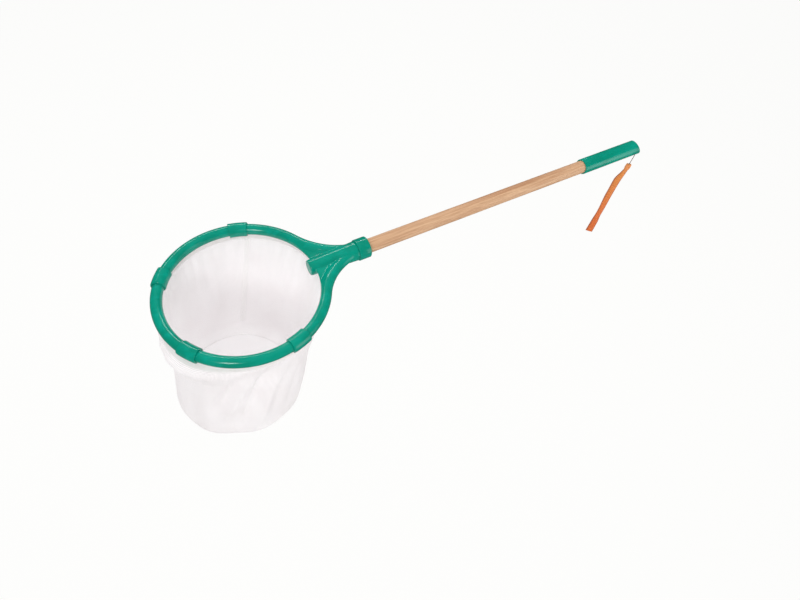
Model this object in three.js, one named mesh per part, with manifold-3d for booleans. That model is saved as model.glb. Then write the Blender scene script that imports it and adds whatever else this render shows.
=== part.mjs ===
// Butterfly net: a plastic hoop of four lengths on a forked socket, a wooden handle with a
// plastic grip, a ribbon wrist strap, and a white mesh bag hung from a corded hem.
// Millimetres, +Z up. The origin is on the handle's axis at the middle of the grip, +X runs
// along the handle towards the grip's end, and the bag hangs down from the hoop.
import * as THREE from 'three';
import { mergeVertices } from 'three/addons/utils/BufferGeometryUtils.js';
import Module from 'manifold-3d';

const wasm = await Module();
wasm.setup();

// Clearances and hang
const fitGap = 0.3; // left round a piece that another piece holds
const endGap = 0.4; // between two hoop lengths where they meet in a sleeve
const strapLean = 8.2; // degrees that the strap hangs towards the tip, the grip held high
const bagLean = 9.4; // degrees that the bag hangs over below its hem

// Hoop
const hoopRadius = 100; // to the middle of the tube
const hoopLift = 4; // the hoop's middle plane above the handle's axis
const hoopTubeRadius = 7;
const hoopTubeWall = 2;
const sideSleeveAngle = 72.4; // degrees from the handle to the sleeves beside the fork
const backTipSleeveAngle = 144.2; // degrees from the handle to the back sleeve beside the tip
const frontTipSleeveAngle = 147; // and to the front one
const sleeveLength = 24;
const sleeveWall = 1.9;
const sleeveChamfer = 1.6;
const chamferShare = 0.6; // of the sleeve's wall that its chamfer takes off

// Fork and socket
const forkLength = 70; // from the middle of the hoop's tube to the face of the socket's collar
const nosePoke = 14; // from the middle of the hoop's tube to the socket's inner end
const noseRadius = 10.2;
const noseEdge = 1.2;
const socketWall = 3.2; // round the handle's bore
const socketDepth = 58; // how far the handle goes into the socket
const forkSweepRadius = 64; // of the curves that run from the hoop into the socket
const webThickness = 9;
const collarWall = 1.9;
const collarRounding = 1.6;
const collarLength = 17;
const collarLip = 2.4; // the part of the collar past the socket's mouth
const spigotWall = 2.2; // of the socket's mouth, inside the collar

// Handle and grip
const dowelRadius = 9.5;
const dowelChamfer = 1;
const exposedHandle = 370;
const gripLength = 114; // along the axis
const gripWall = 1.7;
const gripEdge = 0.8;
const gripEndWall = 2.4;
const gripEndLean = 26; // degrees that the grip's end face leans back at the top
const gripEndRoom = 16; // from the handle's end, inside the grip, to the grip's end
const screwHeadRadius = 2.7;
const screwShankRadius = 1.4;
const screwLength = 14;
const socketScrewSet = 14; // from the collar's inner edge to the socket's screw
const gripScrewSet = 12; // from the grip's near end to its screw
const screwSink = 0.4; // how far a screw's head lies below the surface round it

// Wrist strap
const strapHoleSet = 5; // from the grip's end to the hole, measured on the axis
const strapHoleTurn = 45; // degrees round the grip from its underside, towards the front
const strapHoleRadius = 1.2;
const threadRadius = 0.6;
const threadLength = 17;
const threadKnotRadius = 1.3;
const anchorKnotRadius = 1.9;
const keeperWall = 0.8;
const keeperLength = 10;
const ribbonWidth = 9.6;
const ribbonNeck = 7.2; // its width where the keeper gathers it
const ribbonSpread = 15; // below the keeper, where it has its full width again
const ribbonBow = 3.4; // how far it bows towards the tip there
const ribbonThickness = 0.7;
const ribbonGap = 0.6; // between the two layers
const ribbonHang = 140; // below the keeper
const ribbonTuck = 5; // inside the keeper
const ribbonTurn = -29; // degrees that the ribbon's width is turned from +X

// Bag
const bagDepth = 197; // below the hoop's middle plane
const bagWaistRadius = 89.5;
const bagBaseRadius = 90.5;
const bagCornerRadius = 13;
const bagSkin = 1;
const hemCordRadius = 1.6;
const hemSkin = 0.6;
const hemTail = 9; // how far the hem's two edges hang below the tube
const hemOverlap = 7; // how far the wall's top edge runs up between them
const seamWidth = 8;
const sideSeamAngle = 67; // degrees from the handle to the side seam
const baseSeamRadius = 1.1;

// Facets
const hoopStep = 7.5; // degrees
const roundSides = 28;
const smallSides = 12;

const colours = {
  greenPlastic: { color: 0x059180, roughness: 0.25, metalness: 0 },
  wood: { color: 0xdcb48c, roughness: 0.6, metalness: 0 },
  steel: { color: 0xb9bcc0, roughness: 0.35, metalness: 1 },
  darkThread: { color: 0x4b3a33, roughness: 0.8, metalness: 0 },
  orangeRibbon: { color: 0xe2793f, roughness: 0.6, metalness: 0 },
  whiteMesh: { color: 0xf2efef, roughness: 0.9, metalness: 0 },
  whiteTape: { color: 0xf4f2ef, roughness: 0.85, metalness: 0 },
  whiteCord: { color: 0xece9e4, roughness: 0.8, metalness: 0 },
};

// Sizes that follow from others
const socketRadius = dowelRadius + fitGap + socketWall;
const spigotRadius = dowelRadius + fitGap + spigotWall;
const collarRadius = spigotRadius + fitGap + collarWall;
const gripRadius = dowelRadius + fitGap + gripWall;
const ribbonStack = 2 * ribbonThickness + ribbonGap;
const keeperWidth = ribbonNeck + 2 * (fitGap + keeperWall);
const keeperThickness = ribbonStack + 2 * (fitGap + keeperWall);
const bagTopRadius = hoopRadius; // where the hem carries the bag
const bagLayerGap = bagSkin + 2 * fitGap; // between the hem's two tails
const hemSlotWidth = bagLayerGap + 2 * hemSkin + 2 * fitGap; // the gap under the hoop's tube

// Places that follow from the sizes
const gripStart = -gripLength / 2;
const gripEnd = gripLength / 2;
const collarFace = gripStart - exposedHandle;
const hoopCentreX = collarFace - forkLength - hoopRadius;
const noseX = hoopCentreX + hoopRadius - nosePoke;
const socketMouthX = collarFace - collarLip;
const collarStartX = collarFace - collarLength;
const dowelStartX = socketMouthX - socketDepth;
const dowelEndX = gripEnd - gripEndRoom;
const socketScrewX = collarStartX - socketScrewSet;
const gripScrewX = gripStart + gripScrewSet;
const channelRadius = hoopTubeRadius - hoopTubeWall;
const hemOuterRadius = hemCordRadius + fitGap + hemSkin;
const hemDrop = channelRadius - fitGap - hemOuterRadius; // the hem's bead lies low in the channel
const sleeveHalfAngle = THREE.MathUtils.radToDeg(sleeveLength / 2 / hoopRadius);

const rad = THREE.MathUtils.degToRad;
const net = new THREE.Group();

function addPiece(name, geometry, colourName) {
  const material = new THREE.MeshStandardMaterial(colours[colourName]);
  const mesh = new THREE.Mesh(geometry, material);
  mesh.name = name;
  net.add(mesh);
  return mesh;
}

function toSolid(geometry) {
  const bare = geometry.index ? geometry.toNonIndexed() : geometry.clone();
  bare.deleteAttribute('normal');
  bare.deleteAttribute('uv');
  const merged = mergeVertices(bare, 1e-4);
  return new wasm.Manifold(new wasm.Mesh({
    numProp: 3,
    vertProperties: new Float32Array(merged.attributes.position.array),
    triVerts: new Uint32Array(merged.index.array),
  }));
}

function toGeometry(solid) {
  const mesh = solid.getMesh();
  const geometry = new THREE.BufferGeometry();
  const positions = new Float32Array(mesh.numVert * 3);
  for (let i = 0; i < mesh.numVert; i += 1) {
    for (let k = 0; k < 3; k += 1) {
      positions[i * 3 + k] = mesh.vertProperties[i * mesh.numProp + k];
    }
  }
  geometry.setAttribute('position', new THREE.BufferAttribute(positions, 3));
  geometry.setIndex(new THREE.BufferAttribute(new Uint32Array(mesh.triVerts), 1));
  geometry.computeVertexNormals();
  return geometry;
}

// A turned piece on an axis along +X: each point is [distance along the axis, radius].
function turnedAlongX(points, sides = roundSides) {
  const profile = points.map(([x, r]) => new THREE.Vector2(r, x));
  const geometry = new THREE.LatheGeometry(profile, sides);
  return geometry.rotateZ(-Math.PI / 2);
}

// A turned piece on the hoop's upright axis: each point is [radius, height].
function turnedRoundHoop(points) {
  const profile = points.map(([r, z]) => new THREE.Vector2(r, z));
  const geometry = new THREE.LatheGeometry(profile, Math.round(360 / hoopStep));
  return geometry.rotateX(Math.PI / 2);
}

// Sweeps a section round the hoop. The section's x is measured outwards from the tube's middle
// and its y upwards. Each station has an angle and how far the section's outside is drawn in.
function sweptRoundHoop(section, stations, outsideFrom = Infinity) {
  const last = stations.length - 1;
  const geometry = new THREE.ExtrudeGeometry(section, { depth: last, steps: last, bevelEnabled: false });
  const position = geometry.attributes.position;
  for (let i = 0; i < position.count; i += 1) {
    const station = stations[last - Math.round(position.getZ(i))];
    let across = position.getX(i);
    let up = position.getY(i);
    const out = Math.hypot(across, up);
    if (station.drawIn && out > outsideFrom) {
      const besideSlot = Math.abs(across) < hemSlotWidth / 2 + 0.01;
      if (!besideSlot) across *= (out - station.drawIn) / out;
      up *= (out - station.drawIn) / out;
    }
    const angle = rad(station.angle);
    position.setXYZ(i, (hoopRadius + across) * Math.cos(angle), (hoopRadius + across) * Math.sin(angle), up);
  }
  return geometry;
}

function evenStations(from, to) {
  const steps = Math.max(1, Math.round(Math.abs(to - from) / hoopStep));
  return Array.from({ length: steps + 1 }, (_, i) => ({ angle: from + ((to - from) * i) / steps }));
}

// A round tube's section with a slot along its underside.
function slottedSection(outer, inner, slotWidth, outerPoints, innerPoints) {
  const outerEdge = Math.asin(slotWidth / 2 / outer);
  const innerEdge = Math.asin(slotWidth / 2 / inner);
  const shape = new THREE.Shape();
  for (let i = 0; i < outerPoints; i += 1) {
    const a = -Math.PI / 2 + outerEdge + ((2 * Math.PI - 2 * outerEdge) * i) / (outerPoints - 1);
    if (i === 0) shape.moveTo(outer * Math.cos(a), outer * Math.sin(a));
    else shape.lineTo(outer * Math.cos(a), outer * Math.sin(a));
  }
  for (let i = 0; i < innerPoints; i += 1) {
    const a = 1.5 * Math.PI - innerEdge - ((2 * Math.PI - 2 * innerEdge) * i) / (innerPoints - 1);
    shape.lineTo(inner * Math.cos(a), inner * Math.sin(a));
  }
  shape.closePath();
  return shape;
}

function toHoop(geometry) {
  return geometry.translate(hoopCentreX, 0, hoopLift);
}

// Hoop: three plain lengths of slotted tube between the fork's two ends
const tubeSection = slottedSection(hoopTubeRadius, channelRadius, hemSlotWidth, 17, 11);

function addHoopTubes() {
  const halfGap = THREE.MathUtils.radToDeg(endGap / 2 / hoopRadius);
  const lengths = [
    ['hoop_tube_back', sideSleeveAngle, backTipSleeveAngle],
    ['hoop_tube_tip', backTipSleeveAngle, 360 - frontTipSleeveAngle],
    ['hoop_tube_front', 360 - frontTipSleeveAngle, 360 - sideSleeveAngle],
  ];
  for (const [name, from, to] of lengths) {
    const tube = sweptRoundHoop(tubeSection, evenStations(from + halfGap, to - halfGap));
    addPiece(name, toHoop(tube), 'greenPlastic');
  }
}

// Sleeves: each covers a joint; one end is chamfered and the other stands square to the tube
function addHoopSleeves() {
  const inner = hoopTubeRadius + fitGap;
  const outer = inner + sleeveWall;
  const section = slottedSection(outer, inner, hemSlotWidth, 17, 15);
  const chamferAngle = THREE.MathUtils.radToDeg(sleeveChamfer / hoopRadius);
  const sleeves = [
    ['hoop_sleeve_back', sideSleeveAngle, -1],
    ['hoop_sleeve_back_tip', backTipSleeveAngle, 1],
    ['hoop_sleeve_front_tip', 360 - frontTipSleeveAngle, -1],
    ['hoop_sleeve_front', 360 - sideSleeveAngle, 1],
  ];
  for (const [name, middle, chamferSide] of sleeves) {
    const plainEnd = middle - chamferSide * sleeveHalfAngle;
    const chamferEnd = middle + chamferSide * sleeveHalfAngle;
    const stations = [
      { angle: plainEnd },
      { angle: plainEnd + (chamferSide * 2 * sleeveHalfAngle) / 3 },
      { angle: plainEnd + (chamferSide * 4 * sleeveHalfAngle) / 3 },
      { angle: chamferEnd - chamferSide * chamferAngle },
      { angle: chamferEnd, drawIn: sleeveWall * chamferShare },
    ];
    if (chamferSide < 0) stations.reverse();
    const sleeve = sweptRoundHoop(section, stations, (inner + outer) / 2);
    addPiece(name, toHoop(sleeve), 'greenPlastic');
  }
}

// Fork: two curved arms and a flat web join the hoop's tube to the socket
function forkCurve(side) {
  const axisOffset = socketRadius - hoopTubeRadius;
  const centreY = forkSweepRadius + axisOffset;
  const centreX = Math.sqrt((hoopRadius + forkSweepRadius) ** 2 - centreY ** 2);
  const leaveAngle = Math.atan2(centreY, centreX);
  return { centreX, centreY: side * centreY, leaveAngle };
}

function forkArm(side) {
  const { centreX, centreY, leaveAngle } = forkCurve(side);
  const points = [];
  const steps = 9;
  for (let i = 0; i <= steps; i += 1) {
    const turn = leaveAngle + ((Math.PI / 2 - leaveAngle) * i) / steps;
    const x = centreX - forkSweepRadius * Math.cos(turn);
    const y = centreY - side * forkSweepRadius * Math.sin(turn);
    points.push(new THREE.Vector3(x, y, 0));
  }
  const route = new THREE.CatmullRomCurve3(points);
  const circle = new THREE.Shape();
  circle.absarc(0, 0, hoopTubeRadius, 0, 2 * Math.PI);
  return new THREE.ExtrudeGeometry(circle, { steps: 10, curveSegments: 8, extrudePath: route, bevelEnabled: false });
}

function forkWeb() {
  const { centreX, centreY, leaveAngle } = forkCurve(1);
  const web = new THREE.Shape();
  web.moveTo(hoopRadius * Math.cos(leaveAngle), -hoopRadius * Math.sin(leaveAngle));
  web.absarc(0, 0, hoopRadius, -leaveAngle, leaveAngle, false);
  web.absarc(centreX, centreY, forkSweepRadius, leaveAngle - Math.PI, -Math.PI / 2, false);
  web.lineTo(centreX, -(centreY - forkSweepRadius));
  web.absarc(centreX, -centreY, forkSweepRadius, Math.PI / 2, Math.PI - leaveAngle, false);
  const settings = { depth: webThickness, curveSegments: 8, bevelEnabled: false };
  return new THREE.ExtrudeGeometry(web, settings).translate(0, 0, -webThickness / 2);
}

function addYoke() {
  const halfGap = THREE.MathUtils.radToDeg(endGap / 2 / hoopRadius);
  const limit = sideSleeveAngle - halfGap;
  const arcTube = sweptRoundHoop(tubeSection, evenStations(-limit, limit));
  let body = toSolid(toHoop(arcTube)).add(toSolid(toHoop(forkWeb())));
  body = body.add(toSolid(toHoop(forkArm(1)))).add(toSolid(toHoop(forkArm(-1))));
  const shoulderX = collarStartX - fitGap;
  const spigotEndX = socketMouthX - fitGap;
  const socket = turnedAlongX([
    [noseX, 0],
    [noseX, noseRadius - noseEdge],
    [noseX + noseEdge, noseRadius],
    [shoulderX, socketRadius],
    [shoulderX, spigotRadius],
    [spigotEndX, spigotRadius],
    [spigotEndX, 0],
  ]);
  body = body.add(toSolid(socket));
  const bore = turnedAlongX([
    [dowelStartX - fitGap, 0],
    [dowelStartX - fitGap, dowelRadius + fitGap],
    [socketMouthX + 1, dowelRadius + fitGap],
    [socketMouthX + 1, 0],
  ]);
  body = body.subtract(toSolid(bore)).subtract(hemChannel()).subtract(screwHole(socketScrewX, socketRadius));
  addPiece('yoke', toGeometry(body), 'greenPlastic');
}

// The room that the corded hem needs, where the socket and the web cross the hoop's tube
function hemChannel() {
  const slotDepth = 2 * socketRadius + hoopLift;
  const shape = new THREE.Shape();
  const points = 11;
  const edge = Math.asin(hemSlotWidth / 2 / channelRadius);
  shape.moveTo(hemSlotWidth / 2, -slotDepth);
  for (let i = 0; i < points; i += 1) {
    const a = -Math.PI / 2 + edge + ((2 * Math.PI - 2 * edge) * i) / (points - 1);
    shape.lineTo(channelRadius * Math.cos(a), channelRadius * Math.sin(a));
  }
  shape.lineTo(-hemSlotWidth / 2, -slotDepth);
  shape.closePath();
  const limit = sideSleeveAngle + 2;
  const stations = evenStations(-limit, limit);
  return toSolid(toHoop(sweptRoundHoop(shape, stations)));
}

// Screws: countersunk, driven up from the underside into the handle
function screwProfile(reach, grow) {
  const head = screwHeadRadius + grow;
  const shank = screwShankRadius + grow;
  return [
    [0, 0],
    [0, head],
    [head - shank, shank],
    [reach - shank + grow, shank],
    [reach + grow, 0],
  ];
}

function screwHole(x, surfaceRadius) {
  const outward = 2;
  const points = screwProfile(screwLength, fitGap);
  points.splice(1, 1, [-outward, screwHeadRadius + fitGap], [0, screwHeadRadius + fitGap]);
  points[0] = [-outward, 0];
  const hole = turnedAlongX(points, smallSides).rotateY(-Math.PI / 2);
  return toSolid(hole.translate(x, 0, -surfaceRadius + screwSink));
}

function addScrew(name, x, surfaceRadius) {
  const screw = turnedAlongX(screwProfile(screwLength, 0), smallSides).rotateY(-Math.PI / 2);
  addPiece(name, screw.translate(x, 0, -surfaceRadius + screwSink), 'steel');
}

function addSocketCollar() {
  const inner = spigotRadius + fitGap;
  const mouth = dowelRadius + fitGap;
  const collar = turnedAlongX([
    [collarStartX, inner],
    [collarStartX, collarRadius],
    [collarFace - collarRounding, collarRadius],
    [collarFace - collarRounding * 0.3, collarRadius - collarRounding * 0.4],
    [collarFace, collarRadius - collarRounding],
    [collarFace, mouth],
    [socketMouthX, mouth],
    [socketMouthX, inner],
    [collarStartX, inner],
  ]);
  addPiece('socket_collar', collar, 'greenPlastic');
}

function addDowel() {
  const dowel = turnedAlongX([
    [dowelStartX, 0],
    [dowelStartX, dowelRadius - dowelChamfer],
    [dowelStartX + dowelChamfer, dowelRadius],
    [dowelEndX - dowelChamfer, dowelRadius],
    [dowelEndX, dowelRadius - dowelChamfer],
    [dowelEndX, 0],
  ]);
  const drilled = toSolid(dowel)
    .subtract(screwHole(socketScrewX, socketRadius))
    .subtract(screwHole(gripScrewX, gripRadius));
  addPiece('handle_dowel', toGeometry(drilled), 'wood');
}

// Grip: a blind tube whose end face leans back, with a small hole for the strap's thread
const strapHoleX = gripEnd - strapHoleSet;
const strapHoleOut = new THREE.Vector3(0, -Math.sin(rad(strapHoleTurn)), -Math.cos(rad(strapHoleTurn)));

function strapPin(points, sides = smallSides) {
  // Turned on the hole's own line, which starts on the handle's axis and points outwards.
  const geometry = turnedAlongX(points, sides);
  const turn = new THREE.Quaternion().setFromUnitVectors(new THREE.Vector3(1, 0, 0), strapHoleOut);
  return geometry.applyQuaternion(turn).translate(strapHoleX, 0, 0);
}

function addGrip() {
  const reach = gripRadius * Math.tan(rad(gripEndLean)) + 3;
  const outside = turnedAlongX([
    [gripStart, 0],
    [gripStart, gripRadius - gripEdge],
    [gripStart + gripEdge, gripRadius],
    [gripEnd + reach, gripRadius],
    [gripEnd + reach, 0],
  ]);
  const bore = turnedAlongX([
    [gripStart - 1, 0],
    [gripStart - 1, dowelRadius + fitGap],
    [gripEnd + reach, dowelRadius + fitGap],
    [gripEnd + reach, 0],
  ]);
  const cutSize = 4 * gripRadius;
  const cutter = new THREE.BoxGeometry(cutSize, cutSize, cutSize).translate(cutSize / 2, 0, 0);
  cutter.rotateY(-rad(gripEndLean)).translate(gripEnd, 0, 0);
  const endWall = toSolid(cutter.clone().translate(-gripEndWall / Math.cos(rad(gripEndLean)), 0, 0));
  const threadHole = strapPin([
    [0, 0],
    [0, strapHoleRadius],
    [gripRadius + 2, strapHoleRadius],
    [gripRadius + 2, 0],
  ]);
  const grip = toSolid(outside)
    .subtract(toSolid(bore).subtract(endWall))
    .subtract(toSolid(cutter))
    .subtract(toSolid(threadHole))
    .subtract(screwHole(gripScrewX, gripRadius));
  addPiece('grip', toGeometry(grip), 'greenPlastic');
}

// Wrist strap: a knotted thread through the grip, a sewn keeper and a folded ribbon
const strapPivotOut = gripRadius + fitGap + threadRadius;
const strapPivot = strapHoleOut.clone().multiplyScalar(strapPivotOut).setX(strapHoleX);

function hungFromPivot(geometry) {
  geometry.rotateY(rad(strapLean));
  return geometry.translate(strapPivot.x, strapPivot.y, strapPivot.z);
}

function ballAndStem(ballCentre, ballRadius, stemFrom, stemTo, radius) {
  // Points of a turned outline: a round-ended stem that runs into a ball at its far end.
  const points = [[stemFrom, 0]];
  for (const a of [30, 60]) {
    points.push([stemFrom + radius * (1 - Math.cos(rad(a))), radius * Math.sin(rad(a))]);
  }
  points.push([stemFrom + radius, radius]);
  const entry = Math.asin(radius / ballRadius);
  const turns = 5;
  for (let i = 0; i <= turns; i += 1) {
    const a = entry + ((Math.PI - entry) * i) / turns;
    points.push([ballCentre - ballRadius * Math.cos(a), i === turns ? 0 : ballRadius * Math.sin(a)]);
  }
  points[points.length - 1][0] = stemTo;
  return points;
}

function addStrapAnchor() {
  const knotCentre = dowelRadius + fitGap - anchorKnotRadius - fitGap;
  const stemEnd = gripRadius;
  const outline = ballAndStem(stemEnd - knotCentre, anchorKnotRadius, 0, stemEnd - knotCentre + anchorKnotRadius,
    threadRadius);
  const flipped = outline.map(([x, r]) => [stemEnd - x, r]).reverse();
  addPiece('strap_anchor_knot', strapPin(flipped, 8), 'darkThread');
}

const keeperTop = threadLength + 0.5 * threadRadius; // below the pivot

function addStrapThread() {
  const outline = ballAndStem(threadLength, threadKnotRadius, -threadRadius, threadLength + threadKnotRadius,
    threadRadius);
  const thread = turnedAlongX(outline, 8).rotateY(Math.PI / 2);
  addPiece('strap_thread', hungFromPivot(thread), 'darkThread');
}

function standRibbonUp(geometry) {
  // From flat, with its width on x and its length on y, to hanging under the keeper's top.
  return geometry.rotateX(Math.PI / 2).rotateZ(rad(ribbonTurn)).translate(0, 0, -keeperTop);
}

function ribbonSolid() {
  const foldBelow = keeperLength + ribbonHang - ribbonStack / 2;
  // [distance below the keeper's top, width, how far the ribbon bows towards the tip]
  const marks = [
    [keeperLength - ribbonTuck, ribbonNeck, 0],
    [keeperLength + fitGap, ribbonNeck, 0],
    [keeperLength + ribbonSpread, ribbonWidth, ribbonBow],
    [foldBelow * 0.4, ribbonWidth, ribbonBow],
    [foldBelow * 0.7, ribbonWidth, ribbonBow * 0.4],
    [foldBelow, ribbonWidth, 0],
  ];
  const edge = (side) => marks.map(([below, width, bow]) => new THREE.Vector2((side * width) / 2 - bow, -below));
  const outline = new THREE.Shape([...edge(-1), ...edge(1).reverse()]);
  const layer = new THREE.ExtrudeGeometry(outline, { depth: ribbonThickness, bevelEnabled: false });
  const front = toSolid(standRibbonUp(layer.clone().translate(0, 0, ribbonGap / 2)));
  const back = toSolid(standRibbonUp(layer.translate(0, 0, -ribbonStack / 2)));
  const bend = new THREE.Shape();
  bend.absarc(0, 0, ribbonStack / 2, Math.PI, 2 * Math.PI, false);
  bend.absarc(0, 0, ribbonGap / 2, 0, -Math.PI, true);
  const fold = new THREE.ExtrudeGeometry(bend, { depth: ribbonWidth, curveSegments: 4, bevelEnabled: false });
  fold.translate(0, -foldBelow, -ribbonWidth / 2).rotateY(Math.PI / 2);
  return front.add(back).add(toSolid(standRibbonUp(fold)));
}

function addStrapRibbon() {
  addPiece('strap_ribbon', hungFromPivot(toGeometry(ribbonSolid())), 'orangeRibbon');
  const block = new THREE.BoxGeometry(keeperWidth, keeperLength, keeperThickness).translate(0, -keeperLength / 2, 0);
  const slotHeight = ribbonTuck + fitGap;
  const slot = new THREE.BoxGeometry(ribbonNeck + 2 * fitGap, 2 * slotHeight, ribbonStack + 2 * fitGap);
  slot.translate(0, -keeperLength, 0);
  const dimple = new THREE.SphereGeometry(threadKnotRadius + fitGap, smallSides, 8).translate(0, 0, -threadLength);
  const keeper = toSolid(standRibbonUp(block))
    .subtract(toSolid(standRibbonUp(slot)))
    .subtract(toSolid(dimple));
  addPiece('strap_keeper', hungFromPivot(toGeometry(keeper)), 'orangeRibbon');
}

// Bag
function leaned(geometry) {
  // Everything below the hem's tails leans; above them the cloth hangs straight from the slot.
  const leanStart = -hoopTubeRadius - hemTail;
  const position = geometry.attributes.position;
  for (let i = 0; i < position.count; i += 1) {
    const below = Math.max(0, leanStart - position.getZ(i));
    position.setX(i, position.getX(i) - below * Math.tan(rad(bagLean)));
  }
  return geometry;
}

function bagOutline(inset) {
  // [radius, height] from the top edge to where the wall turns in under the base
  const top = -hoopTubeRadius - hemTail + hemOverlap;
  const straightEnd = -hoopTubeRadius - hemTail;
  const cornerZ = -bagDepth + bagCornerRadius;
  const waistZ = (straightEnd + cornerZ) / 2;
  const points = [
    [bagTopRadius - inset, top],
    [bagTopRadius - inset, straightEnd],
    [(bagTopRadius + bagWaistRadius) / 2 - inset, straightEnd * 0.75 + waistZ * 0.25],
    [bagWaistRadius - inset, waistZ],
    [bagBaseRadius - inset, cornerZ],
  ];
  for (const a of [30, 60, 90]) {
    const r = bagCornerRadius - inset;
    points.push([bagBaseRadius - bagCornerRadius + r * Math.cos(rad(a)), cornerZ - r * Math.sin(rad(a))]);
  }
  return points;
}

function addBag() {
  const outside = bagOutline(-bagSkin / 2);
  const inside = bagOutline(bagSkin / 2);
  const wall = [...inside, ...outside.reverse(), inside[0]];
  addPiece('bag_wall', toHoop(leaned(turnedRoundHoop(wall))), 'whiteMesh');

  const baseRadius = bagBaseRadius - bagCornerRadius - fitGap;
  const base = turnedRoundHoop([
    [0, -bagDepth - bagSkin / 2],
    [baseRadius, -bagDepth - bagSkin / 2],
    [baseRadius, -bagDepth + bagSkin / 2],
    [0, -bagDepth + bagSkin / 2],
  ]);
  addPiece('bag_base', toHoop(leaned(base)), 'whiteMesh');

  const seamZ = -bagDepth + bagSkin / 2 + fitGap + baseSeamRadius;
  const seamR = baseRadius;
  const ring = [];
  for (let i = 0; i <= 6; i += 1) {
    const a = (i * Math.PI) / 3;
    ring.push([seamR + baseSeamRadius * Math.cos(a), seamZ + baseSeamRadius * Math.sin(a)]);
  }
  ring[6] = ring[0];
  addPiece('bag_base_seam', toHoop(leaned(turnedRoundHoop(ring))), 'whiteTape');
}

function addSideSeam() {
  const facetDepth = hoopRadius * (1 - Math.cos(rad(hoopStep / 2)));
  const seamFrom = bagSkin / 2 + fitGap + facetDepth;
  const clearOfBase = fitGap + 2 * baseSeamRadius;
  const inside = bagOutline(seamFrom + bagSkin).slice(1, 5);
  const outside = bagOutline(seamFrom).slice(1, 5);
  for (const line of [inside, outside]) {
    line[0] = [line[0][0], line[0][1] - fitGap - hemSkin];
    line[3] = [line[3][0], line[3][1] + clearOfBase];
  }
  const shape = new THREE.Shape([...inside.reverse(), ...outside].map(([r, z]) => new THREE.Vector2(r - hoopRadius, z)));
  const halfAngle = THREE.MathUtils.radToDeg(seamWidth / 2 / bagWaistRadius);
  const stations = [{ angle: sideSeamAngle - halfAngle }, { angle: sideSeamAngle + halfAngle }];
  addPiece('bag_side_seam', toHoop(leaned(sweptRoundHoop(shape, stations))), 'whiteTape');
}

// Hem: a tape folded round the cord; its two tails leave the slot and hold the wall between them
function addHem() {
  const centreZ = -hemDrop;
  const innerRadius = hemOuterRadius - hemSkin;
  const tailInner = bagLayerGap / 2;
  const tailOuter = tailInner + hemSkin;
  const tailEnd = -hoopTubeRadius - hemTail;
  const outerEdge = Math.asin(tailOuter / hemOuterRadius);
  const innerEdge = Math.asin(tailInner / innerRadius);
  const arcPoints = 7;
  const points = [[hoopRadius + tailOuter, tailEnd]];
  for (let i = 0; i < arcPoints; i += 1) {
    const a = -Math.PI / 2 + outerEdge + ((2 * Math.PI - 2 * outerEdge) * i) / (arcPoints - 1);
    points.push([hoopRadius + hemOuterRadius * Math.cos(a), centreZ + hemOuterRadius * Math.sin(a)]);
  }
  points.push([hoopRadius - tailOuter, tailEnd], [hoopRadius - tailInner, tailEnd]);
  for (let i = 0; i < arcPoints; i += 1) {
    const a = 1.5 * Math.PI - innerEdge - ((2 * Math.PI - 2 * innerEdge) * i) / (arcPoints - 1);
    points.push([hoopRadius + innerRadius * Math.cos(a), centreZ + innerRadius * Math.sin(a)]);
  }
  points.push([hoopRadius + tailInner, tailEnd]);
  points.push(points[0]);
  addPiece('hem_tape', toHoop(turnedRoundHoop(points)), 'whiteTape');

  const cord = new THREE.TorusGeometry(hoopRadius, hemCordRadius, 6, Math.round(360 / hoopStep));
  addPiece('hem_cord', toHoop(cord.translate(0, 0, centreZ)), 'whiteCord');
}

addYoke();
addHoopTubes();
addHoopSleeves();
addSocketCollar();
addScrew('socket_screw', socketScrewX, socketRadius);
addDowel();
addGrip();
addScrew('grip_screw', gripScrewX, gripRadius);
addStrapAnchor();
addStrapThread();
addStrapRibbon();
addBag();
addSideSeam();
addHem();

export default net;
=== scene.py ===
# Butterfly net: a plastic hoop on a forked socket, a wooden handle, a plastic grip,
# a ribbon strap and a white cloth bag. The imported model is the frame, and the pieces here dress it.
from math import asin, atan2, cos, degrees, dist, exp, hypot, pi, radians, sin, sqrt, tan, tau

import bmesh
import bpy
from mathutils import Matrix, Vector


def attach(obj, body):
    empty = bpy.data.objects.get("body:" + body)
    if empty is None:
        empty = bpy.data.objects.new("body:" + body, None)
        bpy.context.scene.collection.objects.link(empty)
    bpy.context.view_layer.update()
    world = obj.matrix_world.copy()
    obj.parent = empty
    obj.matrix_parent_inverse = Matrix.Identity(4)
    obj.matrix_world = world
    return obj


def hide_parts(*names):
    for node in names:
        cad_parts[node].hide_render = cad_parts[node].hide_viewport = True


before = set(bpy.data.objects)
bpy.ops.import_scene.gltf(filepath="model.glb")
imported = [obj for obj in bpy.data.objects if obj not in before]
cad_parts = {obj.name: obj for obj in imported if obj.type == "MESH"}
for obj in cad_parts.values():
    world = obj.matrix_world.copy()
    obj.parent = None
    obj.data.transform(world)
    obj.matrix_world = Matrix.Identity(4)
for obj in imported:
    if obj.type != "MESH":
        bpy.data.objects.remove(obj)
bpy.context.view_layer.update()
scene = bpy.context.scene
scene.view_settings.view_transform = "Standard"
mm = 0.001
print("frame loaded:", len(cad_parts), "nodes")

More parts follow.
